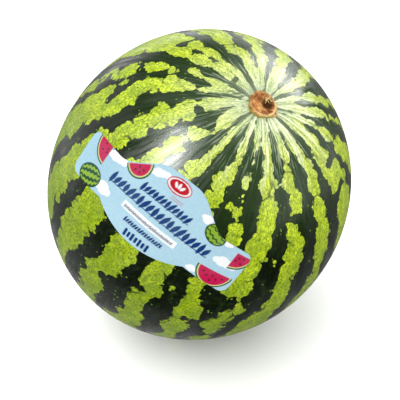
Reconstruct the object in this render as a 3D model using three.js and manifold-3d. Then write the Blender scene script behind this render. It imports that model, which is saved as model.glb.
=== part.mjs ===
// A mini watermelon at rest: the whole fruit, its dried stalk scar and the printed film banner stuck on its rind.
// Millimetres, +Z up. The fruit stands on a small flat spot at z = 0, under the middle of its bounding box.

import * as THREE from "three";
import { mergeVertices } from "three/addons/utils/BufferGeometryUtils.js";
import Module from "manifold-3d";

const wasm = await Module();
wasm.setup();

// ---- Driving dimensions: millimetres, and angles in degrees ----

// The fruit is an oval body turned about its stem axis, a little uneven across.
const FRUIT_WIDTH = 152;
const FRUIT_LENGTH = 167.2;
const OVAL_SHARE = 0.014; // how far the cross-section departs from round, as a share of its radius
const OVAL_AZIMUTH = 74;
const LOBE_SHARE = 0.004; // a second, three-sided departure from round
const LOBE_AZIMUTH = -28;

// How it lies: the stem axis leans from the vertical towards a heading, counted from +X about +Z.
const STEM_LEAN = 32.5;
const STEM_HEADING = -49;
const REST_FLAT_DEPTH = 2.2; // how much of the round underside the resting spot takes away

// The shallow dips at the two ends of the stem axis.
const STEM_DIP_DEPTH = 1.2;
const STEM_DIP_REACH = 11;
const BLOSSOM_DIP_DEPTH = 0.8;
const BLOSSOM_DIP_REACH = 7;

// The dried stalk scar: a corky button with a raised rim, a hollow beside its middle and a nub at its edge.
const STEM_DIAMETER = 13.4;
const STEM_HEIGHT = 2.1;
const STEM_RIM_WIDTH = 1.5;
const STEM_HOLLOW_DEPTH = 1.1;
const STEM_UNEVENNESS = 0.045; // as a share of its radius
const NUB_DIAMETER = 2.6;
const NUB_AZIMUTH = -33;

// The film banner: a strap with a dome above its middle and a round belly below it.
const LABEL_LENGTH = 101;
const LABEL_THICKNESS = 0.3;
const STRAP_TOP = 13.6; // height of the strap's upper edge over the banner's long axis
const STRAP_BOTTOM = 12.4; // depth of its lower edge at the ends
const WAIST_BOTTOM = 9; // depth of the lower edge where the belly starts
const DOME_TOP = 26;
const DOME_FLAT = 12;
const DOME_WIDTH = 64;
const DOME_SHIFT = 3; // the dome stands right of the middle
const BELLY_BOTTOM = 15.8;
const BELLY_WIDTH = 51;
const LABEL_CORNER_RADIUS = 4.5;

// Where the banner's middle lies on the fruit: its angle from the stem, its azimuth about the stem axis,
// and the turn of its long axis away from the fruit's parallels.
const LABEL_FROM_STEM = 54.3;
const LABEL_AZIMUTH = -130.8;
const LABEL_TURN = -5.7;

const SEAT_CLEARANCE = 0.3; // between the rind and what sits on it

// Facets.
const FRUIT_SIDES = 64;
const FRUIT_RINGS = 40;
const STEM_SIDES = 32;
const LABEL_COLUMNS = 44;
const LABEL_ROWS = 8;

const radians = THREE.MathUtils.degToRad;

// ---- The rind's shape, in the fruit's own frame: centre at the origin, stem axis along +Z ----

function dip(angle, depth, reach) {
  const distance = angle * (FRUIT_LENGTH / 2);
  return depth * Math.exp(-((distance / reach) ** 2));
}

// Distance from the fruit's centre to the rind along a unit direction.
function rindRadius(direction) {
  const azimuth = Math.atan2(direction.y, direction.x);
  const oval = OVAL_SHARE * Math.cos(2 * (azimuth - radians(OVAL_AZIMUTH)));
  const lobes = LOBE_SHARE * Math.cos(3 * (azimuth - radians(LOBE_AZIMUTH)));
  const across = Math.hypot(direction.x, direction.y) / ((FRUIT_WIDTH / 2) * (1 + oval + lobes));
  const along = direction.z / (FRUIT_LENGTH / 2);
  const fromStem = Math.acos(THREE.MathUtils.clamp(direction.z, -1, 1));
  const stemDip = dip(fromStem, STEM_DIP_DEPTH, STEM_DIP_REACH);
  const blossomDip = dip(Math.PI - fromStem, BLOSSOM_DIP_DEPTH, BLOSSOM_DIP_REACH);
  return 1 / Math.hypot(across, along) - stemDip - blossomDip;
}

// A point over the rind, at a height measured outwards from it.
function overRind(direction, height) {
  return direction.clone().multiplyScalar(rindRadius(direction) + height);
}

// The unit direction at an angle from the stem and an azimuth about the stem axis.
function directionAt(fromStem, azimuth) {
  return new THREE.Vector3().setFromSphericalCoords(1, fromStem, azimuth + Math.PI / 2)
    .applyMatrix4(new THREE.Matrix4().makeRotationX(Math.PI / 2));
}

// The turn from the fruit's own frame to the row's: the fruit's +X stays over the row's +X.
function fruitTurn() {
  const lean = radians(STEM_LEAN);
  const heading = radians(STEM_HEADING);
  const stemAxis = new THREE.Vector3(
    Math.sin(lean) * Math.cos(heading),
    Math.sin(lean) * Math.sin(heading),
    Math.cos(lean),
  );
  const xAxis = new THREE.Vector3(1, 0, 0).projectOnPlane(stemAxis).normalize();
  const yAxis = new THREE.Vector3().crossVectors(stemAxis, xAxis);
  return new THREE.Matrix4().makeBasis(xAxis, yAxis, stemAxis);
}

// ---- Solids: closed meshes to manifold-3d and back ----

function toSolid(geometry) {
  const bare = geometry.clone();
  bare.deleteAttribute("normal");
  bare.deleteAttribute("uv");
  const merged = mergeVertices(bare, 1e-4);
  return new wasm.Manifold(
    new wasm.Mesh({
      numProp: 3,
      vertProperties: merged.attributes.position.array,
      triVerts: new Uint32Array(merged.index.array),
    }),
  );
}

function toGeometry(solid) {
  const mesh = solid.getMesh();
  const geometry = new THREE.BufferGeometry();
  geometry.setAttribute("position", new THREE.BufferAttribute(mesh.vertProperties, 3));
  geometry.setIndex(new THREE.BufferAttribute(mesh.triVerts, 1));
  geometry.computeVertexNormals();
  return geometry;
}

// Moves every vertex of a geometry to where a function of its position puts it.
function moveVertices(geometry, place) {
  const position = geometry.attributes.position;
  for (let i = 0; i < position.count; i++) {
    const moved = place(new THREE.Vector3().fromBufferAttribute(position, i));
    position.setXYZ(i, moved.x, moved.y, moved.z);
  }
  return geometry;
}

// ---- The melon ----

function melonGeometry(turn) {
  const ball = new THREE.SphereGeometry(1, FRUIT_SIDES, FRUIT_RINGS);
  ball.rotateX(Math.PI / 2); // its poles to the stem axis
  moveVertices(ball, (point) => overRind(point.normalize(), 0));
  ball.applyMatrix4(turn);
  ball.computeBoundingBox();
  const underside = ball.boundingBox.min.z;
  const floorBlock = new THREE.BoxGeometry(2 * FRUIT_LENGTH, 2 * FRUIT_LENGTH, FRUIT_LENGTH);
  floorBlock.translate(0, 0, underside + REST_FLAT_DEPTH - FRUIT_LENGTH / 2);
  return toGeometry(toSolid(ball).subtract(toSolid(floorBlock)));
}

// ---- The stalk scar ----

// The point at a radius and azimuth about the stem axis, at a height over the rind and its clearance.
function overStemEnd(radius, azimuth, height) {
  let fromStem = radius / (FRUIT_LENGTH / 2);
  for (let pass = 0; pass < 4; pass++) {
    fromStem = Math.asin(radius / rindRadius(directionAt(fromStem, azimuth)));
  }
  const seat = overRind(directionAt(fromStem, azimuth), 0);
  return new THREE.Vector3(seat.x, seat.y, seat.z + SEAT_CLEARANCE + height);
}

function stemGeometry(turn) {
  const outer = STEM_DIAMETER / 2;
  const rimInner = outer - STEM_RIM_WIDTH;
  const hollowFloor = STEM_HEIGHT - STEM_HOLLOW_DEPTH;
  const profile = [
    [0, 0],
    [0.35 * outer, 0],
    [0.7 * outer, 0],
    [0.93 * outer, 0],
    [outer, 0.3 * STEM_HEIGHT],
    [0.98 * outer, 0.75 * STEM_HEIGHT],
    [outer - 0.35 * STEM_RIM_WIDTH, STEM_HEIGHT],
    [rimInner, 0.85 * STEM_HEIGHT],
    [0.5 * rimInner, 0.8 * STEM_HEIGHT],
    [0.3 * rimInner, hollowFloor],
    [0, hollowFloor],
  ].map(([radius, height]) => new THREE.Vector2(radius, height));
  const button = new THREE.LatheGeometry(profile, STEM_SIDES);
  button.rotateX(Math.PI / 2);
  moveVertices(button, (point) => {
    const azimuth = Math.atan2(point.y, point.x);
    const uneven = 1 + STEM_UNEVENNESS * Math.cos(3 * azimuth + 1) + (STEM_UNEVENNESS / 2) * Math.cos(7 * azimuth);
    return overStemEnd(Math.hypot(point.x, point.y) * uneven, azimuth, point.z);
  });
  const nubRadius = NUB_DIAMETER / 2;
  const nub = new THREE.SphereGeometry(nubRadius, 12, 8);
  const nubSeat = overStemEnd(outer, radians(NUB_AZIMUTH), nubRadius);
  nub.translate(nubSeat.x, nubSeat.y, nubSeat.z);
  const stem = toGeometry(toSolid(button).add(toSolid(nub)));
  return stem.applyMatrix4(turn);
}

// ---- The film banner ----

// Upper edge of the banner at a distance along its long axis.
function labelTop(along) {
  const shoulder = (DOME_WIDTH - DOME_FLAT) / 2;
  const fromDome = Math.abs(along - DOME_SHIFT);
  const past = THREE.MathUtils.clamp((fromDome - DOME_FLAT / 2) / shoulder, 0, 1);
  return STRAP_TOP + (DOME_TOP - STRAP_TOP) * Math.cos((Math.PI / 2) * past) ** 2;
}

// Lower edge: the belly is an arc, and the strap falls away from where the arc ends.
function labelBottom(along) {
  const half = BELLY_WIDTH / 2;
  const drop = BELLY_BOTTOM - WAIST_BOTTOM;
  const arcRadius = (half ** 2 + drop ** 2) / (2 * drop);
  if (Math.abs(along) < half) {
    return -BELLY_BOTTOM + arcRadius - Math.sqrt(arcRadius ** 2 - along ** 2);
  }
  const share = (Math.abs(along) - half) / (LABEL_LENGTH / 2 - half);
  return -WAIST_BOTTOM - (STRAP_BOTTOM - WAIST_BOTTOM) * share;
}

// How much a rounded corner takes off the banner's edge at a distance along it.
function cornerCut(along) {
  const intoCorner = Math.abs(along) - (LABEL_LENGTH / 2 - LABEL_CORNER_RADIUS);
  if (intoCorner <= 0) return 0;
  const kept = Math.sqrt(Math.max(0, LABEL_CORNER_RADIUS ** 2 - intoCorner ** 2));
  return LABEL_CORNER_RADIUS - kept;
}

// Wraps a point of the flat banner onto the fruit, at a height over the rind.
function wrapped(along, up, height) {
  const middle = directionAt(radians(LABEL_FROM_STEM), radians(LABEL_AZIMUTH));
  const east = new THREE.Vector3().crossVectors(new THREE.Vector3(0, 0, 1), middle).normalize();
  const north = new THREE.Vector3().crossVectors(middle, east);
  const turn = radians(LABEL_TURN);
  const longAxis = east.clone().multiplyScalar(Math.cos(turn)).addScaledVector(north, -Math.sin(turn));
  const upAxis = new THREE.Vector3().crossVectors(middle, longAxis);
  const distance = Math.hypot(along, up);
  if (distance < 1e-9) return overRind(middle, height);
  const meanRadius = (2 * FRUIT_WIDTH + FRUIT_LENGTH) / 6;
  const angle = distance / meanRadius;
  const heading = longAxis.multiplyScalar(along / distance).addScaledVector(upAxis, up / distance);
  const direction = middle.multiplyScalar(Math.cos(angle)).addScaledVector(heading, Math.sin(angle));
  return overRind(direction, height);
}

// Columns bunch up towards the ends, where the corners turn.
function labelColumn(index) {
  const share = (2 * index) / LABEL_COLUMNS - 1;
  return (LABEL_LENGTH / 2) * Math.sin((Math.PI / 2) * share);
}

function labelGeometry(turn) {
  const slab = new THREE.BoxGeometry(LABEL_COLUMNS, LABEL_ROWS, 1, LABEL_COLUMNS, LABEL_ROWS, 1);
  moveVertices(slab, (point) => {
    const along = labelColumn(point.x + LABEL_COLUMNS / 2);
    const cut = cornerCut(along);
    const share = point.y / LABEL_ROWS + 0.5;
    const up = THREE.MathUtils.lerp(labelBottom(along) + cut, labelTop(along) - cut, share);
    return wrapped(along, up, SEAT_CLEARANCE + LABEL_THICKNESS * (point.z + 0.5));
  });
  return toGeometry(toSolid(slab)).applyMatrix4(turn);
}

// ---- The whole object ----

function piece(name, geometry, color, roughness) {
  const mesh = new THREE.Mesh(geometry, new THREE.MeshStandardMaterial({ color, roughness, metalness: 0 }));
  mesh.name = name;
  return mesh;
}

const turn = fruitTurn();
const group = new THREE.Group();
group.add(piece("melon", melonGeometry(turn), 0x6f9a23, 0.3));
group.add(piece("stem", stemGeometry(turn), 0xb07c45, 0.8));
group.add(piece("label", labelGeometry(turn), 0xbfe0ee, 0.35));

// The resting spot goes to z = 0, and the middle of the bounding box over the origin.
const box = new THREE.Box3().setFromObject(group);
const middle = box.getCenter(new THREE.Vector3());
group.position.set(-middle.x, -middle.y, -box.min.z);

export default group;
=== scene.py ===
"""A mini watermelon with a film banner on its rind, standing on a pale studio floor.

Lengths are in millimetres until a mesh is made, and the CAD record gives the place.
"""

from math import cos, pi, radians, sin

import bpy
import numpy as np
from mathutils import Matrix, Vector


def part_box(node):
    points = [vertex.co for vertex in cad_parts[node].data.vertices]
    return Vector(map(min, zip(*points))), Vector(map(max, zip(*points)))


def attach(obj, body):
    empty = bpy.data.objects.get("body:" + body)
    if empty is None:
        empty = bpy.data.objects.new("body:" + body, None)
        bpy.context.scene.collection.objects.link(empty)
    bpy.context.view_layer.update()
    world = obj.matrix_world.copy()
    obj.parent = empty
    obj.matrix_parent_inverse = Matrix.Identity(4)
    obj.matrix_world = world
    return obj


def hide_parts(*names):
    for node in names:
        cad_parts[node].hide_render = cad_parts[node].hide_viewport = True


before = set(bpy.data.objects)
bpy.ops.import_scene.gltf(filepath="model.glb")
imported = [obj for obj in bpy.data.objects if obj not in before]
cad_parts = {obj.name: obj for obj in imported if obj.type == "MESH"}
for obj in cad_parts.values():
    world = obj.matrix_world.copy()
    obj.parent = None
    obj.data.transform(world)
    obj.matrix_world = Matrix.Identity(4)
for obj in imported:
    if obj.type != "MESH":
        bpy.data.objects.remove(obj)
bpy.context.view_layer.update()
MM = 0.001

# ---- The fruit's shape: the same values as the CAD source ----

FRUIT_WIDTH = 152
FRUIT_LENGTH = 167.2
OVAL_SHARE = 0.014
OVAL_AZIMUTH = 74
LOBE_SHARE = 0.004
LOBE_AZIMUTH = -28
STEM_LEAN = 32.5
STEM_HEADING = -49
STEM_DIP_DEPTH = 1.2
STEM_DIP_REACH = 11
BLOSSOM_DIP_DEPTH = 0.8
BLOSSOM_DIP_REACH = 7
FOOT_SOFTNESS = 0.5  # how gently the resting spot meets the round underside

STEM_DIAMETER = 13.4
STEM_HEIGHT = 2.1
STEM_UNEVENNESS = 0.045
NUB_AZIMUTH = -33

LABEL_LENGTH = 101
LABEL_THICKNESS = 0.12  # the film alone, thinner than its CAD solid
LABEL_LIFT = 0.05
STRAP_TOP = 13.6
STRAP_BOTTOM = 12.4
WAIST_BOTTOM = 9
DOME_TOP = 26
DOME_FLAT = 12
DOME_WIDTH = 64
DOME_SHIFT = 3  # the dome stands right of the middle
BELLY_BOTTOM = 15.8
BELLY_WIDTH = 51
LABEL_CORNER_RADIUS = 4.5
LABEL_FROM_STEM = 54.3
LABEL_AZIMUTH = -130.8
LABEL_TURN = -5.7

MEAN_RADIUS = (2 * FRUIT_WIDTH + FRUIT_LENGTH) / 6


def unit(vectors):
    """The vectors along the last axis, each brought to length one."""
    return vectors / np.linalg.norm(vectors, axis=-1, keepdims=True)


def fruit_axes():
    """The fruit's own x, y and stem axes, as rows, in the row frame."""
    lean = radians(STEM_LEAN)
    heading = radians(STEM_HEADING)
    stem = np.array([sin(lean) * cos(heading), sin(lean) * sin(heading), cos(lean)])
    right = np.array([1.0, 0.0, 0.0])
    x_axis = unit(right - stem.dot(right) * stem)
    return np.array([x_axis, np.cross(stem, x_axis), stem])


AXES = fruit_axes()


def direction_at(polar, azimuth):
    """Unit directions at an angle from the stem and an azimuth about its axis, in degrees."""
    polar, azimuth = np.broadcast_arrays(np.radians(polar), np.radians(azimuth))
    across = np.sin(polar)
    return np.stack([across * np.cos(azimuth), across * np.sin(azimuth), np.cos(polar)], -1)


def dip(angle, depth, reach):
    """How deep the dip at a pole is, at an angle from that pole."""
    distance = angle * FRUIT_LENGTH / 2
    return depth * np.exp(-((distance / reach) ** 2))


def rind_radius(direction):
    """Distance from the fruit's centre to its rind along unit directions."""
    azimuth = np.arctan2(direction[..., 1], direction[..., 0])
    oval = OVAL_SHARE * np.cos(2 * (azimuth - radians(OVAL_AZIMUTH)))
    lobes = LOBE_SHARE * np.cos(3 * (azimuth - radians(LOBE_AZIMUTH)))
    half_width = FRUIT_WIDTH / 2 * (1 + oval + lobes)
    across = np.hypot(direction[..., 0], direction[..., 1]) / half_width
    along = direction[..., 2] / (FRUIT_LENGTH / 2)
    polar = np.arccos(np.clip(direction[..., 2], -1, 1))
    stem_dip = dip(polar, STEM_DIP_DEPTH, STEM_DIP_REACH)
    blossom_dip = dip(pi - polar, BLOSSOM_DIP_DEPTH, BLOSSOM_DIP_REACH)
    return 1 / np.hypot(across, along) - stem_dip - blossom_dip


def over_rind(direction, height):
    """Points of the fruit's own frame, at a height over the rind."""
    return direction * (rind_radius(direction) + height)[..., None]


def fruit_centre():
    """Where the fruit's centre stands in the row frame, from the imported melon's box."""
    polar, azimuth = np.meshgrid(np.arange(0, 181, 1.5), np.arange(0, 360, 1.5))
    rind = over_rind(direction_at(polar, azimuth), np.zeros(polar.shape)).reshape(-1, 3) @ AXES
    lowest, highest = (np.array(corner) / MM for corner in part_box("melon"))
    middle = (lowest + highest) / 2 - (rind.min(0) + rind.max(0)) / 2
    return np.array([middle[0], middle[1], highest[2] - rind[:, 2].max()])


FRUIT_CENTRE = fruit_centre()


def to_row(points):
    """Points of the fruit's own frame, in the row frame."""
    return points @ AXES + FRUIT_CENTRE


# ---- Meshes ----


def add_object(name, data):
    """A new object that holds this data, placed in the scene."""
    added = bpy.data.objects.new(name, data)
    bpy.context.scene.collection.objects.link(added)
    return added


def make_piece(name, points, faces, material):
    """A smooth mesh object in metres that rides on the row's one body."""
    mesh = bpy.data.meshes.new(name)
    mesh.from_pydata((points * MM).tolist(), [], faces)
    mesh.polygons.foreach_set("use_smooth", np.ones(len(mesh.polygons), bool))
    mesh.materials.append(material)
    piece = add_object(name, mesh)
    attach(piece, "root")
    return piece


def add_values(piece, name, values, kind="FLOAT", field="value"):
    """One value at each vertex, which the material reads by name."""
    attribute = piece.data.attributes.new(name, kind, "POINT")
    attribute.data.foreach_set(field, np.asarray(values, np.float32).ravel())


def add_flat_map(piece, corners):
    """The map that the export bakes into: one place for each corner of each face."""
    flat_map = piece.data.uv_layers.new(name="OFBake")
    flat_map.data.foreach_set("uv", np.asarray(corners, np.float32).ravel())


def grid_quads(columns, rows):
    """The quads of a grid whose points run row by row."""
    corner = np.arange(columns - 1)[None, :] + columns * np.arange(rows - 1)[:, None]
    corner = corner.ravel()
    return np.stack([corner, corner + 1, corner + columns + 1, corner + columns], 1)


# ---- Materials ----


def srgb(red, green, blue):
    """A linear colour from its everyday 0 to 255 values."""
    share = np.array([red, green, blue]) / 255
    linear = np.where(share <= 0.04045, share / 12.92, ((share + 0.055) / 1.055) ** 2.4)
    return (*linear.tolist(), 1.0)


class Nodes:
    """A tree of nodes, with one short call for each kind of step."""

    def __init__(self, tree):
        self.tree = tree

    def node(self, kind):
        return self.tree.nodes.new("ShaderNode" + kind)

    def put(self, socket, value):
        """Links a socket to a node's output, or sets it to a plain value."""
        if isinstance(value, bpy.types.NodeSocket):
            self.tree.links.new(value, socket)
        else:
            socket.default_value = value

    def fill(self, node, **values):
        """Puts values into a node's sockets; a word's underscores stand for spaces."""
        for name, value in values.items():
            self.put(node.inputs[name.replace("_", " ")], value)

    def object_place(self):
        return self.node("TexCoord").outputs["Object"]

    def attribute(self, name, output="Fac"):
        node = self.node("Attribute")
        node.attribute_name = name
        return node.outputs[output]

    def calculate(self, kind, operation, *values):
        """The outputs of a Math or VectorMath node, whose sockets take the values in order."""
        node = self.node(kind)
        node.operation = operation
        for socket, value in zip(node.inputs, values):
            self.put(socket, value)
        return node.outputs

    def math(self, operation, first, second):
        return self.calculate("Math", operation, first, second)[0]

    def plus(self, first, second):
        return self.math("ADD", first, second)

    def minus(self, first, second):
        return self.math("SUBTRACT", first, second)

    def times(self, first, second):
        return self.math("MULTIPLY", first, second)

    def shift(self, place, by, length):
        """A place moved by a noise colour, by up to half of a length each way."""
        centred = self.calculate("VectorMath", "SUBTRACT", by, (0.5, 0.5, 0.5))[0]
        return self.calculate("VectorMath", "MULTIPLY_ADD", centred, (length,) * 3, place)[0]

    def noise(self, place, size, detail=2.0, output="Fac", roughness=0.5):
        """Soft noise whose features are about a size across, in the place's units."""
        node = self.node("TexNoise")
        self.fill(node, Vector=place, Scale=1 / size, Detail=detail, Roughness=roughness)
        return node.outputs["Color" if output == "Color" else 0]

    def cells(self, place, size, feature="F1"):
        """Cells of a size: the distance to their middles or, by feature, to their edges."""
        node = self.node("TexVoronoi")
        node.feature = feature
        self.fill(node, Vector=place, Scale=1 / size)
        return node.outputs["Distance"]

    def rise(self, value, low, high, bottom=0.0, top=1.0):
        """A smooth step from bottom to top as a value goes from low to high."""
        node = self.node("MapRange")
        node.interpolation_type = "SMOOTHSTEP"
        for place, number in zip((1, 2, 3, 4), (low, high, bottom, top)):
            node.inputs[place].default_value = number
        self.put(node.inputs[0], value)
        return node.outputs[0]

    def mix(self, share, first, second):
        """A colour between two, by share."""
        node = self.node("Mix")
        node.data_type = "RGBA"
        self.put(node.inputs[0], share)
        self.put(node.inputs[6], first)
        self.put(node.inputs[7], second)
        return node.outputs[2]

    def shades(self, value, stops):
        """A colour that passes through stops: (value from 0 to 1, red, green, blue)."""
        node = self.node("ValToRGB")
        ramp = node.color_ramp
        while len(ramp.elements) < len(stops):
            ramp.elements.new(0.5)
        for element, (position, *colour) in zip(ramp.elements, stops):
            element.position = position
            element.color = srgb(*colour)
        self.put(node.inputs[0], value)
        return node.outputs[0]

    def bump(self, height, depth, strength=1.0):
        """A normal from a height whose full range is a depth in metres."""
        node = self.node("Bump")
        self.fill(node, Strength=strength, Distance=depth, Height=height)
        return node.outputs[0]


class Shading(Nodes):
    """A material's nodes, which all lead to one shader."""

    def __init__(self, name):
        self.material = bpy.data.materials.new(name)
        self.material.use_nodes = True
        super().__init__(self.material.node_tree)
        self.tree.nodes.clear()
        self.shader = self.node("BsdfPrincipled")
        output = self.node("OutputMaterial")
        self.tree.links.new(self.shader.outputs["BSDF"], output.inputs["Surface"])

    def finish(self, **values):
        """Fills the shader's own sockets, and hands the material over."""
        self.fill(self.shader, **values)
        return self.material


BLOB_SIZE = 9 * MM  # the rounded lobes that a pale band is made of
BLOB_SWELL = 6.6  # how far, in millimetres, each of these moves a band's edge
SCALLOP_SIZE = 2.6 * MM  # the small scallops along its edges
SCALLOP_SWELL = 2.6
FRINGE_SIZE = 1.0 * MM  # and the crumbs along those
FRINGE_SWELL = 0.6
VEIN_CELL_SIZE = 1.7 * MM
PIT_SIZE = 1.1 * MM
PATCH_SIZE = 5 * MM
MARBLE_SIZE = 3.5 * MM
FLECK_CELL_SIZE = 3.2 * MM
WAX_RELIEF = 0.12 * MM

# Colours by the angle from the stem, as a share of the way to the blossom end. Near the stem the lime
# is partly its own pale colour and partly painted sheen, and the dark's grey there is partly painted
# sheen.
LIME_AND_SHEEN_STOPS = (
    (0.03, 212, 219, 188),
    (0.08, 208, 217, 130),
    (0.13, 194, 206, 80),
    (0.18, 184, 200, 42),
    (0.26, 164, 182, 14),
    (0.38, 140, 156, 2),
    (0.47, 124, 141, 2),
    (0.70, 124, 141, 6),
    (1.00, 152, 170, 62),
)
DARK_AND_SHEEN_STOPS = (
    (0.03, 95, 106, 82),
    (0.10, 42, 59, 33),
    (0.17, 28, 45, 17),
    (0.30, 9, 16, 4),
    (0.70, 10, 17, 5),
    (1.00, 30, 44, 20),
)
DEEP_LIME = srgb(52, 88, 2)
PIT_GREEN = srgb(52, 84, 8)
MARBLE_GREEN = srgb(44, 76, 28)
FLECK_LIME = srgb(110, 146, 54)
CREAM = srgb(222, 227, 190)
HAIRLINE_GREEN = srgb(104, 130, 66)
PALE_HAIRLINE = srgb(176, 188, 160)
BLOSSOM_HALO = srgb(150, 142, 88)
BLOSSOM_BROWN = srgb(96, 62, 30)
BLOSSOM_TAN = srgb(188, 144, 92)


def rind_material():
    """Lime bands of scalloped lobes between dark bands, paler and streaked at the stem, where the
    paleness is partly painted sheen.
    """
    s = Shading("watermelon_rind")
    place = s.object_place()
    edge = s.attribute("edge")
    polar = s.attribute("polar")
    meridians = s.attribute("meridians", "Vector")
    grain = s.attribute("grain", "Vector")

    # Places stirred by noise, so that the cells laid out on them have uneven outlines.
    wide = s.shift(place, s.noise(place, 12 * MM, 1, "Color"), 5 * MM)
    crumbs = s.shift(place, s.noise(place, 2.4 * MM, 2, "Color"), 1.0 * MM)
    near = s.shift(grain, s.noise(grain, 2.4 * MM, 2, "Color"), 1.2 * MM)
    away = s.rise(polar, 8, 34)  # 0 at the stem, 1 over the open fruit

    blob = s.cells(wide, BLOB_SIZE)
    scallop = s.cells(crumbs, SCALLOP_SIZE)
    bulge = s.times(s.minus(0.47, blob), BLOB_SWELL)
    bulge = s.plus(bulge, s.times(s.minus(0.45, scallop), SCALLOP_SWELL))
    bulge = s.plus(bulge, s.times(s.minus(s.noise(place, 4 * MM, 2), 0.5), 0.6))
    bulge = s.plus(bulge, s.times(s.minus(0.4, s.cells(crumbs, FRINGE_SIZE)), FRINGE_SWELL))
    reach = s.plus(edge, s.times(bulge, s.plus(0.2, s.times(away, 0.8))))
    lime = s.rise(reach, -0.15, 0.3)

    # A few thin dark cracks run in between the lobes.
    crack_line = s.rise(s.cells(wide, BLOB_SIZE, "DISTANCE_TO_EDGE"), 0.015, 0.07, 1, 0)
    crack_here = s.rise(s.noise(place, 15 * MM, 1), 0.5, 0.6)
    near_edge = s.rise(reach, 1.2, 3.6, 0.9, 0)
    crack = s.times(s.times(crack_line, near_edge), s.times(away, crack_here))
    lime = s.times(lime, s.minus(1.0, crack))

    # Lime: broken darker veins round small cells, pits, and yellower and greener patches.
    patch = s.noise(grain, PATCH_SIZE, 3)
    fine = s.noise(near, 1.3 * MM, 3, roughness=0.6)
    vein = s.rise(s.cells(near, VEIN_CELL_SIZE, "DISTANCE_TO_EDGE"), 0.03, 0.3, 1, 0)
    vein = s.times(vein, s.rise(fine, 0.36, 0.54))
    pit = s.rise(s.noise(near, PIT_SIZE, 2), 0.58, 0.66)
    from_stem = s.math("DIVIDE", polar, 180.0)
    # The lime's stops carry painted sheen near the stem.
    lime_colour = s.shades(from_stem, LIME_AND_SHEEN_STOPS)
    greener = s.mix(0.72, lime_colour, DEEP_LIME)
    lime_colour = s.mix(s.rise(patch, 0.38, 0.66, 0.0, 0.55), lime_colour, greener)
    lime_colour = s.mix(s.times(vein, 0.95), lime_colour, greener)
    pitted = s.times(pit, s.rise(patch, 0.35, 0.6, 0.3, 0.9))
    lime_colour = s.mix(pitted, lime_colour, PIT_GREEN)

    # Dark: near black-green with a marbling of lighter green and sparse flecks of lime.
    marble = s.rise(s.noise(grain, MARBLE_SIZE, 4, roughness=0.65), 0.5, 0.75)
    # The dark's stops carry painted sheen near the stem.
    dark_colour = s.shades(from_stem, DARK_AND_SHEEN_STOPS)
    dark_colour = s.mix(s.times(marble, 0.28), dark_colour, MARBLE_GREEN)
    fleck = s.rise(s.cells(near, FLECK_CELL_SIZE), 0.10, 0.18, 1, 0)
    chosen = s.rise(s.noise(place, 9 * MM, 1), 0.5, 0.6)
    dark_colour = s.mix(s.times(s.times(fleck, chosen), 0.7), dark_colour, FLECK_LIME)

    # Hairlines run along the meridians, clearest round the stem.
    hair = s.noise(meridians, 0.35, 3)
    silk = s.noise(meridians, 0.9, 2)
    hairline = s.times(s.rise(hair, 0.54, 0.62), s.rise(polar, 12, 42, 0.9, 0.0))
    pale_line = s.times(s.rise(hair, 0.36, 0.46, 1, 0), s.rise(polar, 8, 30, 0.6, 0.0))
    # Cream streaks round the stem: the rind's own pale colour, with painted sheen that makes them
    # strongest on one side.
    sheen_side = s.rise(s.attribute("painted_sheen_side"), -0.7, 0.7, 0.25, 1)
    cream_and_sheen = s.times(s.rise(silk, 0.46, 0.62), s.times(sheen_side, s.rise(polar, 10, 36, 0.75, 0.0)))
    lime_colour = s.mix(cream_and_sheen, lime_colour, CREAM)
    lime_colour = s.mix(s.times(hairline, 0.7), lime_colour, HAIRLINE_GREEN)
    dark_colour = s.mix(pale_line, dark_colour, PALE_HAIRLINE)

    colour = s.mix(lime, dark_colour, lime_colour)
    ragged = s.plus(polar, s.times(s.noise(place, 1.6 * MM, 3), 1.2))
    colour = s.mix(s.rise(ragged, 177.2, 177.9), colour, BLOSSOM_HALO)
    blossom_scar = s.rise(ragged, 178.0, 178.6)
    colour = s.mix(blossom_scar, colour, s.mix(fine, BLOSSOM_BROWN, BLOSSOM_TAN))
    streak = s.rise(s.noise(meridians, 0.6, 3), 0.35, 0.65)
    roughness = s.plus(s.plus(0.2, s.times(lime, 0.06)), s.times(streak, 0.2))
    roughness = s.plus(roughness, s.times(blossom_scar, 0.4))
    relief = s.plus(s.times(hair, 0.6), s.times(s.noise(place, 2.2 * MM, 3), 0.4))
    return s.finish(
        Base_Color=colour,
        Roughness=roughness,
        Specular_IOR_Level=0.2,
        Normal=s.bump(relief, WAX_RELIEF, 0.6),
    )
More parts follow.
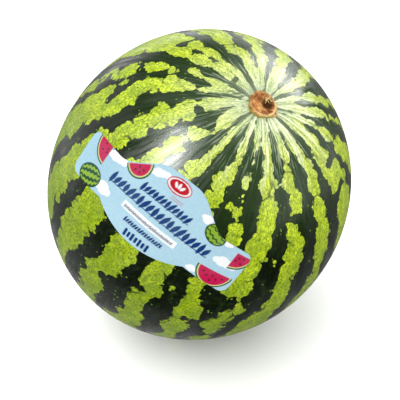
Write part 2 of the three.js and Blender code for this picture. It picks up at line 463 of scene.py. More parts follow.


# ---- The stripes ----

# Each dark stripe as marks (degrees from the stem, azimuth, half-width), read off.
STRIPES = [
    [(12, 172, 3), (20, 176, 4), (40, 177.5, 5), (50, 182, 3), (70, 180.5, 2.5)],
    [(10, -168, 2.5), (15, -162, 4), (20, -159, 7), (25, -160, 4), (40, -159.5, 4),
     (70, -160, 3), (90, -159.5, 3.4)],
    [(8, -139, 3), (20, -137, 3.5), (25, -138, 5), (35, -141, 4), (65, -140.5, 3.5),
     (75, -140, 3.5), (95, -141, 3.5)],
    [(8, -122, 1.5), (15, -119.5, 5), (30, -121.5, 4), (65, -122.5, 2.5), (80, -121.5, 3),
     (88, -125, 5), (96, -122, 3.2)],
    [(8, -108, 2), (15, -104, 3), (20, -101, 3.5), (30, -101, 5), (45, -101, 6),
     (58, -106, 4), (75, -106.5, 3), (88, -107, 4), (95, -106, 3.5)],
    [(20, -91, 3), (35, -91, 5), (40, -90, 3), (45, -88.5, 3), (65, -94, 2),
     (72, -91, 6), (80, -90.5, 2), (88, -92, 2)],
    [(10, -73, 3), (17, -71, 4), (30, -70, 3), (45, -70, 4), (58, -73.5, 5),
     (70, -74.5, 5), (75, -74, 3), (85, -77, 3)],
    [(15, -54, 2.5), (25, -51, 4.5), (31, -52, 2.5), (40, -53.5, 5), (50, -52.5, 4),
     (55, -53, 3.5), (65, -53, 5), (72, -55, 4)],
    [(10, -33, 3), (20, -34, 5), (30, -34, 3), (45, -34, 4), (60, -35, 4), (68, -36.5, 6)],
    [(20, -10.5, 3), (30, -11, 4), (40, -10, 1.8), (48, -10, 4)],
    [(8, 0, 2), (20, 3, 3), (35, 6, 3.5), (40, 8, 4), (48, 10, 3)],
    [(18, 19, 2), (28, 19.5, 3), (42, 22, 3)],
    [(8, 36, 3), (15, 34, 2), (25, 35.5, 3.5), (35, 36.5, 6)],
    [(15, 53, 3), (25, 56, 4), (35, 56.5, 3.5)],
    [(10, 80, 3), (20, 76, 4), (35, 74.5, 4)],
    [(20, 92.5, 1), (27, 96, 4.5), (35, 95, 3)],
    [(10, 114.5, 5), (20, 115, 6), (30, 116.5, 3), (38, 116, 4), (50, 116, 3)],
    [(72, 131, 1.2), (88, 131, 2.6), (110, 129, 3.0)],
    [(10, 148, 5), (20, 146.5, 4.5), (35, 145, 2.5), (45, 145, 4.5), (60, 147, 4)],
    [(20, 162, 3), (27, 156, 3), (32, 158, 2), (35, 159.5, 3), (40, 157, 1.5),
     (52, 160, 1), (70, 160, 1.5), (90, 160, 1.5)],
]

# Dark links as (azimuth, polar) to (azimuth, polar) with a half-width in millimetres.
LINKS = [
    ((-168, 21), (-152, 19), 2.2),
    ((-139, 27), (-146, 29), 1.6),
    ((-121, 80), (-117, 80), 1.4),
    ((-125, 88), (-131, 88), 1.2),
    ((-98, 22), (-90, 22), 2.0),
    ((-101, 33), (-91, 33), 2.6),
    ((-100, 40), (-90, 40), 1.6),
    ((-92, 72), (-85, 72), 2.4),
    ((-92, 85), (-97, 85), 1.2),
    ((-70, 39), (-54, 39), 0.9),
    ((-51, 28), (-46, 28), 1.6),
    ((-34, 44), (-20, 43), 0.7),
    ((-12, 32), (-21, 31), 2.4),
    ((116, 38), (129, 38), 2.0),
    ((150, 12), (134, 12), 1.2),
    ((156, 28), (147, 28), 1.2),
    ((156, 42), (148, 47), 1.2),
    ((164, 48), (157, 44), 0.9),
    ((164, 48), (169, 55), 0.9),
    ((164, 48), (165, 52), 1.6),
    ((150, 60), (158, 60), 0.7),
    ((130.5, 23), (133, 31), 0.7),
]

# Lime islands inside the dark, as (azimuth, polar, half-width, half-length in millimetres).
ISLANDS = [
    (-97, 28, 2.4, 5.5),
    (-104, 35, 1.6, 2.2),
    (-96.5, 37, 1.5, 1.8),
    (-95, 44, 3.6, 5.6),
    (-71, 56, 0.9, 2.0),
    (-108, 71, 1.1, 1.8),
]

STRIPE_SEED = 19
LAST_POLAR = 176
FAR_LINKS = 26
MARK_STEP = 9
LATE_START = 12  # a stripe that starts further than this from the stem has a pointed end
POINT_LENGTH = 3
POINT_PINCH = 3
EDGE_LIMIT = 9


def grown_stripe(marks, random):
    """A stripe's marks, carried on over the unseen side by a slow seeded wander."""
    marks = list(marks)
    polar, azimuth, width = marks[-1]
    home = azimuth
    while polar + MARK_STEP < LAST_POLAR:
        polar += MARK_STEP
        azimuth += 0.5 * (home - azimuth) + random.uniform(-2.2, 2.2)
        width = np.clip(width + random.uniform(-1.4, 1.4), 2.2, 5.4)
        marks.append((polar, azimuth, width))
    return np.array(marks)


def far_links(stripes, random):
    """Seeded links and spurs that start on stripes, over the unseen side."""
    links = []
    for _ in range(FAR_LINKS):
        marks = stripes[random.integers(len(stripes))]
        polar = random.uniform(60, 150)
        if polar < marks[-3, 0] - 40:
            continue
        azimuth = np.interp(polar, marks[:, 0], marks[:, 1])
        reach = random.choice([-1, 1]) * random.uniform(5, 13)
        rise = random.uniform(-3, 3)
        links.append(((azimuth, polar), (azimuth + reach, polar + rise), random.uniform(0.7, 2.0)))
    return links


def turned(azimuth):
    """Azimuth differences brought between -180 and 180."""
    return (azimuth + 180) % 360 - 180


def stripe_edge(polar, azimuth):
    """Distance to the nearest edge of the dark, in millimetres: above 0 in the lime."""
    random = np.random.default_rng(STRIPE_SEED)
    stripes = [grown_stripe(marks, random) for marks in STRIPES]
    degree_up = MEAN_RADIUS * pi / 180
    degree_across = degree_up * np.maximum(np.sin(np.radians(polar)), 0.02)
    edge = np.full(polar.shape, 1e3)
    for marks in stripes:
        middle = np.interp(polar, marks[:, 0], marks[:, 1])
        half = np.interp(polar, marks[:, 0], marks[:, 2])
        if marks[0, 0] > LATE_START:
            before = (marks[0, 0] - POINT_LENGTH - polar) / POINT_LENGTH
            half = half - POINT_PINCH * np.clip(before, 0, 1)
        edge = np.minimum(edge, (np.abs(turned(azimuth - middle)) - half) * degree_across)
    for start, end, half in LINKS + far_links(stripes, random):
        scale = MEAN_RADIUS * pi / 180 * sin(radians((start[1] + end[1]) / 2))
        across = turned(azimuth - start[0]) * scale
        up = (polar - start[1]) * degree_up
        span = np.array([(end[0] - start[0]) * scale, (end[1] - start[1]) * degree_up])
        share = np.clip((across * span[0] + up * span[1]) / (span @ span), 0, 1)
        edge = np.minimum(edge, np.hypot(across - share * span[0], up - share * span[1]) - half)
    for middle, height, half_width, half_length in ISLANDS:
        across = turned(azimuth - middle) * degree_across / half_width
        up = (polar - height) * degree_up / half_length
        edge = np.maximum(edge, (1 - np.hypot(across, up)) * half_width)
    return np.clip(edge, -EDGE_LIMIT, EDGE_LIMIT)


# ---- The melon ----

MELON_CELLS = 128  # quads along each side of the cube that the melon is blown up from
MAP_MARGIN = 0.012
SHEEN_SIDE_AZIMUTH = -28  # the side where painted sheen makes the cream round the stem strongest
GRAIN_PULL = 0.9  # below 1, the rind's cells are longer from stem to blossom than across


def cube_ball(cells):
    """Directions, quads and flat-map corners of a ball made from a cube's six sides."""
    step = np.linspace(-1, 1, cells + 1)
    q, p = np.meshgrid(step, step, indexing="ij")
    quads_of_side = grid_quads(cells + 1, cells + 1)
    directions, quads, corners = [], [], []
    for side in range(6):
        axis = side // 2
        outward = np.eye(3)[axis] * (1 - 2 * (side % 2))
        first = np.eye(3)[(axis + 1) % 3]
        second = np.cross(outward, first)
        along, across = np.tan(p * pi / 4), np.tan(q * pi / 4)
        directions.append(
            unit(outward + along[..., None] * first + across[..., None] * second).reshape(-1, 3)
        )
        quads.append(quads_of_side + side * (cells + 1) ** 2)
        kept = 1 - 2 * MAP_MARGIN
        u = (side % 3 + MAP_MARGIN + kept * (p + 1) / 2) / 3
        v = (side // 3 + MAP_MARGIN + kept * (q + 1) / 2) / 2
        corners.append(np.stack([u, v], -1).reshape(-1, 2)[quads_of_side])
    directions = np.concatenate(directions)
    keys = np.round(directions * 1e6).astype(np.int64)
    _, first_index, shared = np.unique(keys, axis=0, return_index=True, return_inverse=True)
    return directions[first_index], shared.ravel()[np.concatenate(quads)], np.concatenate(corners)


def make_melon():
    """The whole fruit, with its resting spot softly flattened."""
    directions, quads, corners = cube_ball(MELON_CELLS)
    points = to_row(over_rind(directions, np.zeros(len(directions))))
    height = points[:, 2]
    points[:, 2] = (height + np.hypot(height, FOOT_SOFTNESS)) / 2
    melon = make_piece("melon_fruit", points, quads.tolist(), rind_material())
    polar = np.degrees(np.arccos(np.clip(directions[:, 2], -1, 1)))
    azimuth = np.degrees(np.arctan2(directions[:, 1], directions[:, 0]))
    add_flat_map(melon, corners)
    add_values(melon, "edge", stripe_edge(polar, azimuth))
    add_values(melon, "polar", polar)
    turn = np.radians(azimuth)
    streaks = np.stack([12 * np.cos(turn), 12 * np.sin(turn), polar / 22], 1)
    add_values(melon, "meridians", streaks, "FLOAT_VECTOR", "vector")
    add_values(melon, "painted_sheen_side", np.cos(turn - radians(SHEEN_SIDE_AZIMUTH)))
    rolled = np.stack([np.cos(turn), np.sin(turn), GRAIN_PULL * np.radians(polar)], 1)
    add_values(melon, "grain", rolled * MEAN_RADIUS * MM, "FLOAT_VECTOR", "vector")
    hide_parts("melon")


# ---- The film banner ----


def label_top(along):
    """Height of the banner's upper edge over its long axis."""
    shoulder = (DOME_WIDTH - DOME_FLAT) / 2
    past = np.clip((np.abs(along - DOME_SHIFT) - DOME_FLAT / 2) / shoulder, 0, 1)
    return STRAP_TOP + (DOME_TOP - STRAP_TOP) * np.cos(pi / 2 * past) ** 2


def label_bottom(along):
    """Height of its lower edge: an arc below the belly, then the strap."""
    half = BELLY_WIDTH / 2
    drop = BELLY_BOTTOM - WAIST_BOTTOM
    arc = (half ** 2 + drop ** 2) / (2 * drop)
    belly = -BELLY_BOTTOM + arc - np.sqrt(arc ** 2 - np.minimum(np.abs(along), half) ** 2)
    share = (np.abs(along) - half) / (LABEL_LENGTH / 2 - half)
    strap = -WAIST_BOTTOM - (STRAP_BOTTOM - WAIST_BOTTOM) * share
    return np.where(np.abs(along) < half, belly, strap)


def corner_cut(along):
    """How much a rounded corner takes off the banner's edges."""
    radius = LABEL_CORNER_RADIUS
    into = np.clip(np.abs(along) - (LABEL_LENGTH / 2 - radius), 0, radius)
    return radius - np.sqrt(radius ** 2 - into ** 2)


def wrapped(along, up, height):
    """Points of the flat banner wrapped onto the fruit, in the row frame."""
    middle = direction_at(LABEL_FROM_STEM, LABEL_AZIMUTH)
    east = unit(np.cross([0, 0, 1], middle))
    north = np.cross(middle, east)
    turn = radians(LABEL_TURN)
    long_axis = east * cos(turn) - north * sin(turn)
    up_axis = np.cross(middle, long_axis)
    distance = np.maximum(np.hypot(along, up), 1e-9)
    heading = (along / distance)[..., None] * long_axis + (up / distance)[..., None] * up_axis
    angle = (distance / MEAN_RADIUS)[..., None]
    return to_row(over_rind(middle * np.cos(angle) + heading * np.sin(angle), height))


SKY = srgb(172, 207, 222)
# A shaded sky, painted on towards the banner's left end.
PAINTED_SKY_SHADE = srgb(146, 184, 204)
CLOUD = srgb(244, 246, 246)
NAVY = srgb(14, 52, 112)
RED = srgb(186, 14, 32)
FLESH = srgb(190, 18, 74)
SEED = srgb(60, 20, 24)
PEEL = srgb(30, 72, 28)
PEEL_PALE = srgb(200, 212, 140)
LIME_PRINT = srgb(136, 170, 44)
STRIP_GREY = srgb(120, 126, 138)
PRINT_SOFTNESS = 0.22  # how sharply one ink ends at another
SEED_HALF_LENGTH = 0.75
SEED_HALF_WIDTH = 0.4

# The print's clouds, as (middle, width, puffs, lean), in millimetres along and up the banner.
CLOUDS = (
    ((-29.5, 11.3), 13, 4, 0.15),
    ((-27, -5.3), 11, 3, 0.1),
    ((-8, 20), 10, 4, 0.35),
    ((21.5, 16.5), 7, 3, -0.3),
    ((40.5, 2.9), 14, 4, 0),
    ((29, -7.8), 6, 3, 0),
    ((36, 12.5), 6, 3, 0),
)

# Its melon slices, as (corner, radius, cuts, seeds), with each seed as (angle, share of radius).
SLICES = (
    ((-35, 13.8), 10.8, (180, -90), ((195, 0.45), (225, 0.62), (250, 0.42), (232, 0.3))),
    ((-18.3, 17.6), 6.9, (-55,), ((-20, 0.5), (-55, 0.55), (-95, 0.5), (-55, 0.2))),
    ((42.6, 11.4), 9.4, (0, -90), ((-20, 0.5), (-45, 0.68), (-70, 0.45), (-42, 0.34))),
    ((39.8, -2.6), 9.6, (-90,),
     ((-25, 0.6), (-58, 0.5), (-90, 0.62), (-125, 0.5), (-155, 0.6), (-90, 0.28))),
)
LEAF_SIZES = (0.6, 0.46, 0.5, 0.44, 0.56, 0.46, 0.5)


class Print:
    """The banner's picture: colours at flat places, painted over one another."""

    def __init__(self, along, up):
        self.along, self.up = along, up
        self.colour = np.empty(along.shape + (3,))
        self.colour[:] = SKY[:3]

    def paint(self, inside, colour, opacity=1.0):
        """Paints where a distance, above 0 inside, says; ink edges are a little soft."""
        share = np.clip(inside / PRINT_SOFTNESS + 0.5, 0, 1)[..., None] * opacity
        self.colour += share * (np.array(colour[:3]) - self.colour)

    def turned_place(self, middle, angle):
        """Places counted from a middle, along and across a direction in degrees."""
        along = self.along - middle[0]
        up = self.up - middle[1]
        cosine = cos(radians(angle))
        sine = sin(radians(angle))
        return along * cosine + up * sine, up * cosine - along * sine

    def ellipse(self, middle, half_length, half_width, angle=0):
        a, b = self.turned_place(middle, angle)
        return (1 - np.hypot(a / half_length, b / half_width)) * min(half_length, half_width)

    def bar(self, middle, half_length, half_width, angle=0, radius=0.4):
        a, b = self.turned_place(middle, angle)
        past_a = np.maximum(np.abs(a) - half_length + radius, 0)
        past_b = np.maximum(np.abs(b) - half_width + radius, 0)
        return radius - np.hypot(past_a, past_b)

    def leaf(self, middle, half_length, half_width, angle):
        a, b = self.turned_place(middle, angle)
        return half_width * (1 - (a / half_length) ** 2) - np.abs(b)

    def half_plane(self, point, angle):
        """Above 0 on the side of a line that the angle points to."""
        return self.turned_place(point, angle)[0]


def paint_cloud(picture, middle, width, puffs, lean):
    """A cloud: a row of round puffs, the middle ones larger."""
    for i in range(puffs):
        share = (i + 0.5) / puffs - 0.5
        size = width / puffs * (0.95 - 0.9 * abs(share)) * (1.1 if i % 2 else 0.9)
        rise = size * 0.3 + lean * share * width
        place = (middle[0] + share * width * 0.85, middle[1] + rise)
        picture.paint(picture.ellipse(place, size, size * 0.85), CLOUD)


def paint_slice(picture, corner, radius, cuts, seeds):
    """A melon slice round a corner, kept on the side of each cut that its angle points to."""
    kept = np.min([picture.half_plane(corner, angle) for angle in cuts], 0)
    for inset, colour in ((0, PEEL), (0.75, PEEL_PALE), (1.35, FLESH)):
        picture.paint(np.minimum(kept, picture.ellipse(corner, radius - inset, radius - inset)), colour)
    for angle, share in seeds:
        along = corner[0] + share * radius * cos(radians(angle))
        up = corner[1] + share * radius * sin(radians(angle))
        picture.paint(picture.ellipse((along, up), SEED_HALF_LENGTH, SEED_HALF_WIDTH, angle), SEED)


def paint_whole_melon(picture, middle, half_length, half_width, angle):
    """A small whole melon: a dark peel with pale wavy stripes along it."""
    body = picture.ellipse(middle, half_length, half_width, angle)
    picture.paint(body, PEEL)
    a, b = picture.turned_place(middle, angle)
    belly = np.sqrt(np.clip(1 - (a / half_length) ** 2, 0, 1)) * half_width
    wave = b + 0.35 * np.sin(a * 2.4)
    for share, thickness in ((-0.62, 0.8), (0.0, 1.15), (0.62, 0.8)):
        stripe = thickness * belly / half_width - np.abs(wave - share * belly)
        picture.paint(np.minimum(stripe, body - 0.55), LIME_PRINT)


def paint_leaf_row(picture, start, end, rise, tall, colour):
    """A garland of slim leaves on a thin vine, where the film has wording."""
    length = end[0] - start[0]
    count = int(length / (0.44 * tall))
    for i in range(count + 1):
        share = i / count
        size = tall * LEAF_SIZES[i % len(LEAF_SIZES)]
        foot = start[1] + share * (end[1] - start[1]) + rise * 4 * share * (1 - share)
        lean = 62 if i % 3 else 78
        place = (start[0] + share * length, foot + 0.46 * tall)
        picture.paint(picture.leaf(place, size, 0.18 * tall, lean), colour)
        vine = picture.bar((place[0], foot + 0.12 * tall), 0.26 * tall, 0.045 * tall, 0, 0.05)
        picture.paint(vine, colour)


def label_picture(along, up):
    """A generic print: sky, clouds, melon slices, and plain ornaments in place of wording."""
    picture = Print(along, up)
    # Painted shade: the sky is deeper towards the banner's left end.
    picture.paint((-30 - along) * 0.02 + 0.1, PAINTED_SKY_SHADE, 0.4)
    for cloud in CLOUDS:
        paint_cloud(picture, *cloud)
    for melon_slice in SLICES:
        paint_slice(picture, *melon_slice)
    paint_whole_melon(picture, (-37.8, -5.6), 8.0, 5.9, 24)
    paint_whole_melon(picture, (28.6, 13.4), 6.0, 4.5, -22)
    paint_seal(picture, (2.6, 21.2))
    paint_leaf_row(picture, (-10.5, 8.9), (14.6, 9.2), 0.4, 5.0, NAVY)
    paint_leaf_row(picture, (-25.5, 1.2), (30, 0.6), 1.3, 6.4, NAVY)
    picture.paint(picture.bar((1.5, -1.8), 15.5, 1.9, -1, 0.2), CLOUD)
    paint_leaf_row(picture, (-12.5, -2.7), (15, -3.1), 0, 1.9, STRIP_GREY)
    paint_leaf_row(picture, (-8.8, -8.2), (11.8, -8.0), 0, 3.0, NAVY)
    for i in range(7):
        half_height = 2.15 - 0.5 * (i % 2)
        picture.paint(picture.bar((-5.4 + 2.1 * i, -12.3), 0.72, half_height, 0, 0.6), NAVY)
    return picture.colour


def paint_seal(picture, middle):
    """A plain red oval with a white ring and a white sprig, and two fine lines below it."""
    picture.paint(picture.ellipse(middle, 6.3, 3.7, 3), RED)
    picture.paint(0.22 - np.abs(picture.ellipse(middle, 5.4, 2.9, 3)), CLOUD)
    for side in (-1, 0, 1):
        place = (middle[0] + 1.7 * side, middle[1] + 0.3 - 0.3 * abs(side))
        picture.paint(picture.ellipse(place, 1.35, 0.6, 90 - 38 * side), CLOUD)
    for drop in (5.1, 6.1):
        picture.paint(picture.bar((middle[0] + 2.9, middle[1] - drop), 3.2, 0.16, 0, 0.1), RED, 0.7)


LABEL_COLUMNS = 340
LABEL_ROWS = 130
INK_SHARE = 0.6  # how much of the studio's strong light the inks give back


def film_material():
    """Printed film: smooth and softly glossy, with a faint print grain and fine creases."""
    s = Shading("printed_film")
    place = s.object_place()
    ink = s.attribute("print", "Color")
    grain = s.noise(place, 0.8 * MM, 3)
    colour = s.mix(s.rise(grain, 0.35, 0.7, 0.0, 0.1), ink, srgb(60, 70, 90))
    colour = s.mix(s.rise(s.noise(place, 16 * MM, 2), 0.4, 0.7, 0, 0.08), colour, srgb(110, 140, 150))
    creases = s.plus(s.times(s.noise(place, 7 * MM, 2), 0.8), s.times(grain, 0.2))
    return s.finish(
        Base_Color=colour,
        Roughness=s.plus(0.5, s.times(grain, 0.15)),
        Specular_IOR_Level=0.006,
        Normal=s.bump(creases, 0.1 * MM, 0.5),
    )


def make_label():
    """The film, as one closed thin sheet that follows the rind."""
    share = np.linspace(-1, 1, LABEL_COLUMNS)
    along = LABEL_LENGTH / 2 * (0.8 * share + 0.2 * np.sin(pi / 2 * share))
    cut = corner_cut(along)
    level = np.linspace(0, 1, LABEL_ROWS)[:, None]
    up = label_bottom(along) + cut + level * (label_top(along) - label_bottom(along) - 2 * cut)
    along = np.broadcast_to(along, up.shape)
    under = wrapped(along, up, np.full(up.shape, LABEL_LIFT)).reshape(-1, 3)
    over = wrapped(along, up, np.full(up.shape, LABEL_LIFT + LABEL_THICKNESS)).reshape(-1, 3)
    quads = grid_quads(LABEL_COLUMNS, LABEL_ROWS)
    count = LABEL_COLUMNS * LABEL_ROWS
    index = np.arange(count).reshape(LABEL_ROWS, LABEL_COLUMNS)
    rim = np.concatenate([index[0], index[1:, -1], index[-1, -2::-1], index[-2:0:-1, 0]])
    next_rim = np.roll(rim, -1)
    wall = np.stack([rim, rim + count, next_rim + count, next_rim], 1)[:, ::-1]
    faces = np.concatenate([quads + count, quads[:, ::-1], wall]).tolist()
    points = np.concatenate([under, over])
    label = make_piece("film_banner", points, faces, film_material())
    picture = label_picture(along, up).reshape(-1, 3)
    inks = np.concatenate([picture, picture]) * INK_SHARE
    solid = np.concatenate([inks, np.ones((len(inks), 1))], 1)
    add_values(label, "print", solid, "FLOAT_COLOR", "color")
    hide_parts("label")


# ---- The stalk scar ----

STEM_SIDES = 120
HOLLOW_PLACE = (2.4, 0.6)  # right of the middle
HOLLOW_RADIUS = 2.9
HOLLOW_DEPTH = 1.15
TUFT_PLACE = (2.2, 3.5)
TUFT_FIBRES = 30
TUFT_SEED = 5
NUB_SIDES = 24
NUB_PROFILE = ((1.15, 0.0), (1.3, 0.5), (1.2, 1.1), (0.9, 1.55), (0.6, 1.6), (0.4, 1.2), (0.1, 1.0))
BUTTON_WALL = ((1.0, 0.86), (1.015, 0.66), (1.0, 0.42), (1.02, 0.2), (1.035, -0.12))
CORK_STOPS = (
    (0.32, 84, 48, 22),
    (0.44, 126, 78, 42),
    (0.55, 160, 108, 62),
    (0.70, 190, 148, 92),
)
CORK_RUSSET = srgb(100, 60, 30)
CORK_CREAM = srgb(220, 202, 142)
CORK_HOLLOW = srgb(42, 24, 6)
CORK_OLIVE = srgb(112, 122, 28)


def stem_outline(azimuth):
    """How far the button's outline reaches at an azimuth, as a share of its radius."""
    return 1 + STEM_UNEVENNESS * np.cos(3 * azimuth + 1) + STEM_UNEVENNESS / 2 * np.cos(7 * azimuth)


def rind_height(x, y):
    """Height of the rind over the fruit's centre at a place beside the stem axis."""
    across = np.hypot(x, y)
    azimuth = np.degrees(np.arctan2(y, x))
    polar = np.degrees(across / (FRUIT_LENGTH / 2))
    for _ in range(4):
        polar = np.degrees(np.arcsin(across / rind_radius(direction_at(polar, azimuth))))
    return over_rind(direction_at(polar, azimuth), np.zeros(across.shape))[..., 2]


def rumple(x, y, size, seed):
    """Smooth seeded unevenness between about -1 and 1, from a few crossing waves."""
    random = np.random.default_rng(seed)
    total = 0
    for _ in range(7):
        angle = random.uniform(0, 2 * pi)
        wave = 2 * pi / size * random.uniform(0.7, 1.5)
        total = total + np.sin(wave * (x * cos(angle) + y * sin(angle)) + random.uniform(0, 6))
    return total / 3.2


def button_surface():
    """The cork button as rings from its middle over the rim and down to the rind."""
    turn = np.linspace(0, 2 * pi, STEM_SIDES, endpoint=False)
    inner = np.linspace(0.02, 0.97, 34)
    rows = []
    heights = []
    outline = STEM_DIAMETER / 2 * stem_outline(turn)
    for share in inner:
        x = share * outline * np.cos(turn)
        y = share * outline * np.sin(turn)
        hollow = np.exp(-((np.hypot(x - HOLLOW_PLACE[0], y - HOLLOW_PLACE[1]) / HOLLOW_RADIUS) ** 4))
        rim = np.exp(-(((share - 0.88) / 0.09) ** 2)) * (0.62 + 0.38 * np.cos(turn + 0.9))
        top = 0.74 * STEM_HEIGHT + 0.16 * rumple(x, y, 2.4, 3) + 0.07 * rumple(x, y, 0.9, 4)
        top += 0.5 * rim * (1 + 0.4 * rumple(x, y, 1.6, 5)) - HOLLOW_DEPTH * hollow
        rows.append((x, y))
        heights.append(top)
    for reach, level in BUTTON_WALL:
        x = reach * outline * np.cos(turn)
        y = reach * outline * np.sin(turn)
        ribs = 0.8 + 0.12 * np.cos(turn * 5)
        rows.append((x, y))
        heights.append(level * STEM_HEIGHT * ribs + 0.06 * rumple(x, y, 1.5, 6))
    x = np.array([row[0] for row in rows])
    y = np.array([row[1] for row in rows])
    z = rind_height(x, y) + np.array(heights)
    return np.stack([x, y, z], -1)


def closed_tube(sides, rings):
    """The faces of a tube whose points run ring by ring, with a cap at each end."""
    faces = []
    for ring in range(rings - 1):
        for side in range(sides):
            after = (side + 1) % sides
            low = ring * sides
            faces.append([low + after, low + sides + after, low + sides + side, low + side])
    faces.append(list(range(sides))[::-1])
    faces.append(list(range((rings - 1) * sides, rings * sides)))
    return faces


def tube(path, radii, sides=7):
    """A closed tapering tube along a path: its points and faces."""
    points = []
    tangent = unit(np.gradient(path, axis=0))
    first = unit(np.cross(tangent, [0.3, 0.5, 0.8]))
    second = np.cross(tangent, first)
    for centre, a, b, radius in zip(path, first, second, radii):
        for side in range(sides):
            angle = 2 * pi * side / sides
            points.append(centre + radius * (a * cos(angle) + b * sin(angle)))
    return np.array(points), closed_tube(sides, len(path))


def tuft_tubes(random):
    """The frayed fibres that stand at the hollow's edge, each bent over a little."""
    for _ in range(TUFT_FIBRES):
        x = TUFT_PLACE[0] + random.normal(0, 0.85)
        y = TUFT_PLACE[1] + random.normal(0, 0.6)
        base = np.array([x, y, rind_height(x, y) + 0.6 * STEM_HEIGHT])
        lean = np.array([random.uniform(-0.7, 0.9), random.uniform(-1.3, 0.4), 0.75])
        curl = np.array([random.uniform(-0.5, 0.5), random.uniform(-0.5, 0.5), -0.5])
        share = np.linspace(0, 1, 7)[:, None]
        path = base + share * lean * random.uniform(0.9, 1.7) + share ** 2 * curl
        yield tube(path, random.uniform(0.16, 0.3) * (1.05 - 0.75 * share[:, 0]))


def nub_rings():
    """The small hollow nub beside the button: a squat open knob."""
    angle = radians(NUB_AZIMUTH)
    out = STEM_DIAMETER / 2 + 0.25
    x = out * cos(angle)
    y = out * sin(angle)
    base = np.array([x, y, rind_height(x, y) - 0.1])
    turn = np.linspace(0, 2 * pi, NUB_SIDES, endpoint=False)
    rings = []
    for radius, height in NUB_PROFILE:
        reach = radius * (1 + 0.12 * np.cos(3 * turn + height))
        level = np.full(NUB_SIDES, height)
        rings.append(base + np.stack([reach * np.cos(turn), reach * np.sin(turn), level], 1))
    return np.concatenate(rings)


def cork_material():
    """Dry cork: tan with russet and cream, dark in the hollow, olive where it meets the rind."""
    s = Shading("stalk_cork")
    place = s.object_place()
    depth = s.attribute("hollow")
    rim = s.attribute("rim")
    base = s.attribute("base")
    rough_place = s.shift(place, s.noise(place, 1.5 * MM, 3, "Color"), 1.2 * MM)
    patches = s.noise(rough_place, 2.6 * MM, 4, roughness=0.6)
    fibres = s.noise(rough_place, 0.7 * MM, 4, roughness=0.7)
    colour = s.shades(patches, CORK_STOPS)
    colour = s.mix(s.rise(fibres, 0.5, 0.68, 0, 0.5), colour, CORK_RUSSET)
    colour = s.mix(s.times(rim, s.rise(fibres, 0.3, 0.6, 0.95, 0.5)), colour, CORK_CREAM)
    colour = s.mix(s.times(depth, s.rise(fibres, 0.35, 0.7, 1.0, 0.75)), colour, CORK_HOLLOW)
    colour = s.mix(base, colour, CORK_OLIVE)
    relief = s.plus(s.times(patches, 0.5), s.times(fibres, 0.5))
    return s.finish(
        Base_Color=colour,
        Roughness=s.plus(0.62, s.times(fibres, 0.3)),
        Specular_IOR_Level=0.02,
        Normal=s.bump(relief, 0.5 * MM, 0.8),
    )


def make_stem():
    """The stalk scar, its tuft and its nub, as one grown piece."""
    surface = button_surface()
    rings = len(surface)
    points = [surface.reshape(-1, 3)]
    faces = [face[::-1] for face in closed_tube(STEM_SIDES, rings)]
    share = np.hypot(surface[..., 0], surface[..., 1]) / (STEM_DIAMETER / 2)
    turn = np.arctan2(surface[..., 1], surface[..., 0])
    ring = np.arange(rings)[:, None] + np.zeros(STEM_SIDES)
    reach = np.hypot(surface[..., 0] - HOLLOW_PLACE[0], surface[..., 1] - HOLLOW_PLACE[1])
    hollow = [np.clip(1.25 - (reach / HOLLOW_RADIUS) ** 2 * 0.8, 0, 1).ravel()]
    rim_side = 0.55 + 0.45 * np.cos(turn + 0.7)
    rim = [(np.clip(1 - np.abs(share - 0.93) / 0.13, 0, 1) * rim_side).ravel()]
    base = [np.clip((ring - rings + 3.5) / 2, 0, 1).ravel()]

    def add(extra_points, extra_faces, hollow_share, rim_share):
        start = sum(len(part) for part in points)
        count = len(extra_points)
        points.append(extra_points)
        faces.extend([[start + corner for corner in face] for face in extra_faces])
        hollow.append(np.broadcast_to(hollow_share, count))
        rim.append(np.full(count, rim_share))
        base.append(np.zeros(count))

    for tube_points, tube_faces in tuft_tubes(np.random.default_rng(TUFT_SEED)):
        add(tube_points, tube_faces, 0, 0.95)
    nub_count = len(NUB_PROFILE)
    nub_dark = np.repeat(np.clip((np.arange(nub_count) - 3.5) / 1.5, 0, 1), NUB_SIDES)
    add(nub_rings(), closed_tube(NUB_SIDES, nub_count), nub_dark, 0.35)

    mesh_points = to_row(np.concatenate(points))
    stem = make_piece("stalk_scar", mesh_points, faces, cork_material())
    for name, values in (("hollow", hollow), ("rim", rim), ("base", base)):
        add_values(stem, name, np.concatenate(values))
    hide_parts("stem")


# ---- Floor, light and camera ----

VIEW_ELEVATION = 36
CAMERA_DISTANCE = 0.7
FRAME_WIDTH = 0.202  # how much the frame shows across, at the fruit's centre
AIM_RIGHT = 0.86 * MM
AIM_DOWN = 7.07 * MM
FLOOR_HALF = 4.0
SENSOR_WIDTH = 36

# The studio's surround: a broad glow whose middle stands at this azimuth and elevation, a weaker
# one straight behind the fruit, and the dim light that is everywhere.
GLOW_PLACE = (-85, 45)
GLOW_STARTS = 0.2
GLOW_FULL = 0.95
GLOW_BRIGHTNESS = 1.6
BACK_STARTS = 0.3
BACK_FULL = 0.95
BACK_BRIGHTNESS = 0.6
SURROUND_BRIGHTNESS = 1.26

# Lights that face the fruit and that only gloss shows, as (name, azimuth, elevation, distance,
# width, height, power), in degrees, metres and watts.
SOFTBOXES = (
    ("left_softbox", -40, 44, 0.9, 0.26, 0.7, 44),
    ("back_softbox", 140, 27, 0.9, 0.5, 0.34, 9),
    ("left_wall", -120, 10, 1.2, 0.9, 1.2, 4),
    ("right_wall", 105, 10, 1.2, 0.9, 1.2, 4),
    ("back_wall", 180, 5, 1.2, 1.6, 0.5, 4),
)
RIGHT_FILL = ("right_fill", 60, 0, 1.2, 0.9, 0.5, 5)  # as above, and it lights the rind too

# The cards under the floor: how far they reach to each side, how deep they are, where their
# near edge lies and how far below the floor, in metres.
CARD_REACH = 1.5
CARD_DEPTH = 1.6
CARD_FRONT = -0.085
CARD_BELOW = 0.002
CARD_POWERS = (3.2, 2.2)  # in watts, left and right


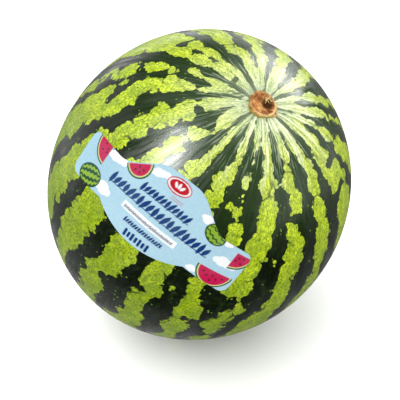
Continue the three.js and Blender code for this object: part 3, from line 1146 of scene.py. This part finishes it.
def make_floor():
    """A plain pale floor."""
    s = Shading("pale_floor")
    haze = s.noise(s.object_place(), 0.4, 2)
    pale = s.mix(haze, (0.85, 0.85, 0.85, 1), (0.87, 0.87, 0.87, 1))
    s.finish(Base_Color=pale, Roughness=0.55)
    corners = [(x * FLOOR_HALF, y * FLOOR_HALF, 0) for x, y in ((-1, -1), (1, -1), (1, 1), (-1, 1))]
    mesh = bpy.data.meshes.new("floor")
    mesh.from_pydata(corners, [], [(0, 1, 2, 3)])
    mesh.materials.append(s.material)
    floor = add_object("floor", mesh)
    floor.visible_glossy = False  # so that the dark bands stay as deep as in the photo


def sky_direction(azimuth, elevation):
    """A direction from the fruit: azimuth from the camera's side towards its right."""
    turn = radians(azimuth)
    rise = radians(elevation)
    return Vector((cos(rise) * sin(turn), -cos(rise) * cos(turn), sin(rise)))


def make_area_light(name, width, height, power):
    """A soft rectangular light, which only gloss shows unless it is told otherwise."""
    light = bpy.data.lights.new(name, "AREA")
    light.shape = "RECTANGLE"
    light.size = width
    light.size_y = height
    light.energy = power
    area_light = add_object(name, light)
    area_light.visible_diffuse = False
    return area_light


def make_softbox(name, azimuth, elevation, distance, width, height, power):
    """A soft rectangular light that faces the fruit."""
    softbox = make_area_light(name, width, height, power)
    centre = Vector((FRUIT_CENTRE * MM).tolist())
    direction = sky_direction(azimuth, elevation)
    softbox.location = centre + direction * distance
    softbox.rotation_euler = direction.to_track_quat("Z", "Y").to_euler()
    return softbox


def make_card(name, left, right, power):
    """A card of light that lies just under the floor and faces up.

    The rind mirrors it along its outline, as it would mirror the floor beyond the fruit.
    """
    card = make_area_light(name, right - left, CARD_DEPTH, power)
    card.location = ((left + right) / 2, CARD_FRONT + CARD_DEPTH / 2, -CARD_BELOW)
    card.rotation_euler = (pi, 0, 0)


def make_world():
    """A broad soft glow above at the left, a weaker one behind, and a dim surround."""
    world = bpy.data.worlds.new("studio")
    world.use_nodes = True
    s = Nodes(world.node_tree)
    background = s.tree.nodes["Background"]
    background.inputs["Color"].default_value = (1, 1, 1, 1)
    direction = s.node("TexCoord").outputs["Generated"]

    def brightness(toward, starts, full, most):
        """Light that rises to its most as directions near one side of the studio."""
        nearness = s.calculate("VectorMath", "DOT_PRODUCT", direction, toward)["Value"]
        return s.rise(nearness, starts, full, 0, most)

    glow = brightness(sky_direction(*GLOW_PLACE), GLOW_STARTS, GLOW_FULL, GLOW_BRIGHTNESS)
    back = brightness((0, 1, 0), BACK_STARTS, BACK_FULL, BACK_BRIGHTNESS)
    s.put(background.inputs["Strength"], s.plus(s.plus(glow, back), SURROUND_BRIGHTNESS))
    world.cycles_visibility.glossy = False  # the rind mirrors the softboxes and the cards alone
    bpy.context.scene.world = world


def make_lights():
    """The studio's glow, the softboxes and cards that the rind mirrors, and a low fill."""
    make_world()
    for softbox in SOFTBOXES:
        make_softbox(*softbox)
    make_card("left_card", -CARD_REACH, 0, CARD_POWERS[0])
    make_card("right_card", 0, CARD_REACH, CARD_POWERS[1])
    fill = make_softbox(*RIGHT_FILL)
    fill.visible_diffuse = True


def make_camera():
    """The photograph's view: a long lens, looking down at the fruit."""
    camera_data = bpy.data.cameras.new("camera")
    camera_data.sensor_width = SENSOR_WIDTH
    camera_data.lens = SENSOR_WIDTH * CAMERA_DISTANCE / FRAME_WIDTH
    camera_data.clip_start = 0.05
    camera = add_object("camera", camera_data)
    centre = Vector((FRUIT_CENTRE * MM).tolist())
    toward = sky_direction(0, VIEW_ELEVATION)
    upward = Vector((0, sin(radians(VIEW_ELEVATION)), cos(radians(VIEW_ELEVATION))))
    aim = centre - upward * AIM_DOWN + Vector((AIM_RIGHT, 0, 0))
    camera.location = centre + toward * CAMERA_DISTANCE
    camera.rotation_euler = (camera.location - aim).to_track_quat("Z", "Y").to_euler()
    bpy.context.scene.camera = camera


make_camera()
make_melon()
make_label()
make_stem()
make_floor()
make_lights()
bpy.context.scene.view_settings.view_transform = "Standard"
